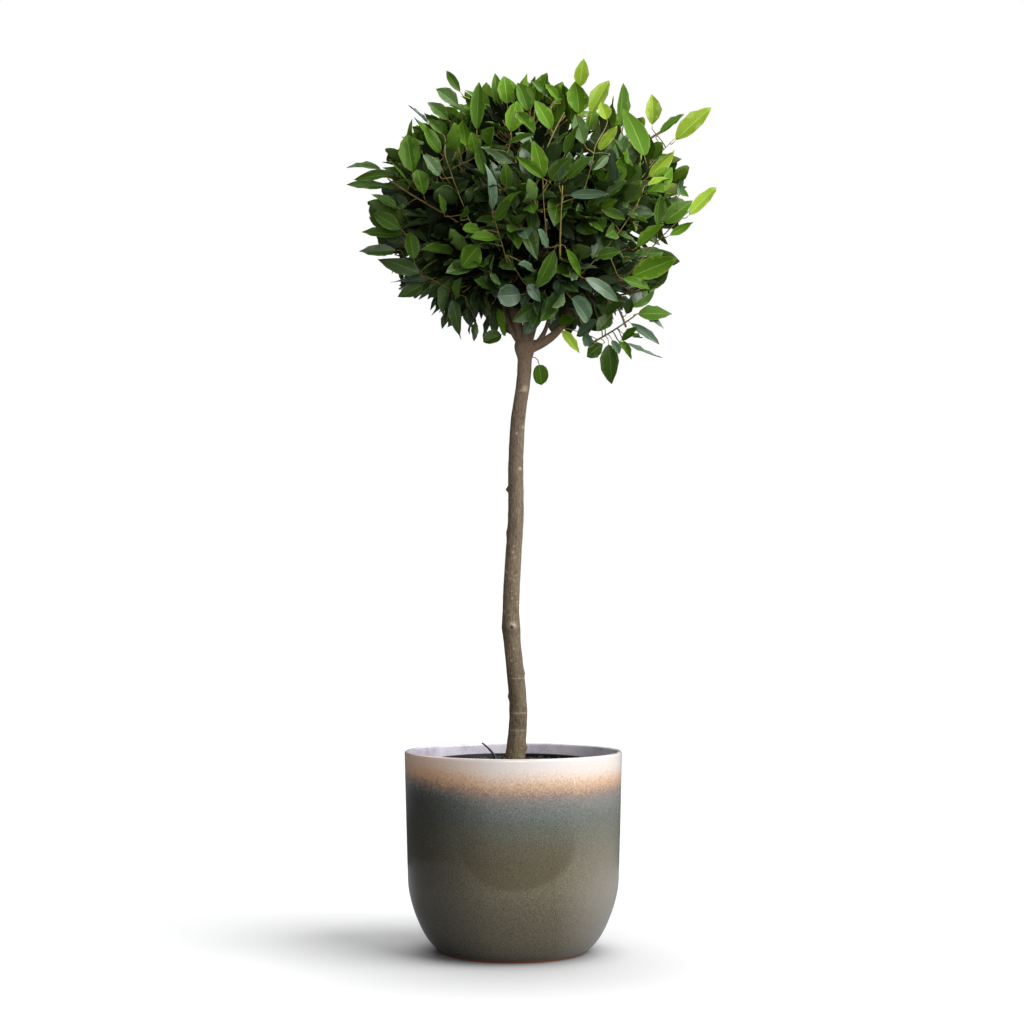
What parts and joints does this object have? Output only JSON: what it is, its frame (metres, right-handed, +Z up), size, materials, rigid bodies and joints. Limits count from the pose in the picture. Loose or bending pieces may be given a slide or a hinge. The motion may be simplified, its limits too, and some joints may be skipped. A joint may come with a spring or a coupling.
{
  "type": "standard bay topiary in planter",
  "caption": "Standard bay tree with a rounded leafy crown on one bare woody stem, in a black nursery pot inside a two-tone glazed planter.",
  "frame": {"origin": "centre of the planter's flat foot, on the ground", "axes": "+Z up along the planter's axis, -Y towards the front, +X to the right as seen from the front"},
  "size_m": [0.5565, 0.484, 1.3304],
  "materials": {
    "glaze": "gloss",
    "black_plastic": "satin",
    "compost": "matte",
    "bark": "matte",
    "leaves": "satin"
  },
  "bodies": {
    "root": {"bough_back_left": "bark", "bough_back_lower_left": "bark", "bough_back_lower_right": "bark", "bough_back_right": "bark", "bough_back_upper": "bark", "bough_front": "bark", "bough_front_left": "bark", "bough_front_lower_left": "bark", "bough_front_lower_right": "bark", "bough_front_right": "bark", "bough_front_upper": "bark", "bough_left_lower": "bark", "bough_left_middle": "bark", "bough_left_upper": "bark", "bough_right_lower": "bark", "bough_right_middle": "bark", "bough_right_upper": "bark", "bough_top": "bark", "compost": "compost", "dry_stalk": "bark", "foliage_back_left": "leaves", "foliage_back_lower_left": "leaves", "foliage_back_lower_right": "leaves", "foliage_back_right": "leaves", "foliage_back_upper": "leaves", "foliage_front": "leaves", "foliage_front_left": "leaves", "foliage_front_lower_left": "leaves", "foliage_front_lower_right": "leaves", "foliage_front_right": "leaves", "foliage_front_upper": "leaves", "foliage_left_lower": "leaves", "foliage_left_middle": "leaves", "foliage_left_upper": "leaves", "foliage_right_lower": "leaves", "foliage_right_middle": "leaves", "foliage_right_upper": "leaves", "foliage_top": "leaves", "nursery_pot": "black_plastic", "planter": "glaze", "stem": "bark", "stem_leaf": "leaves"}
  },
  "joints": []
}
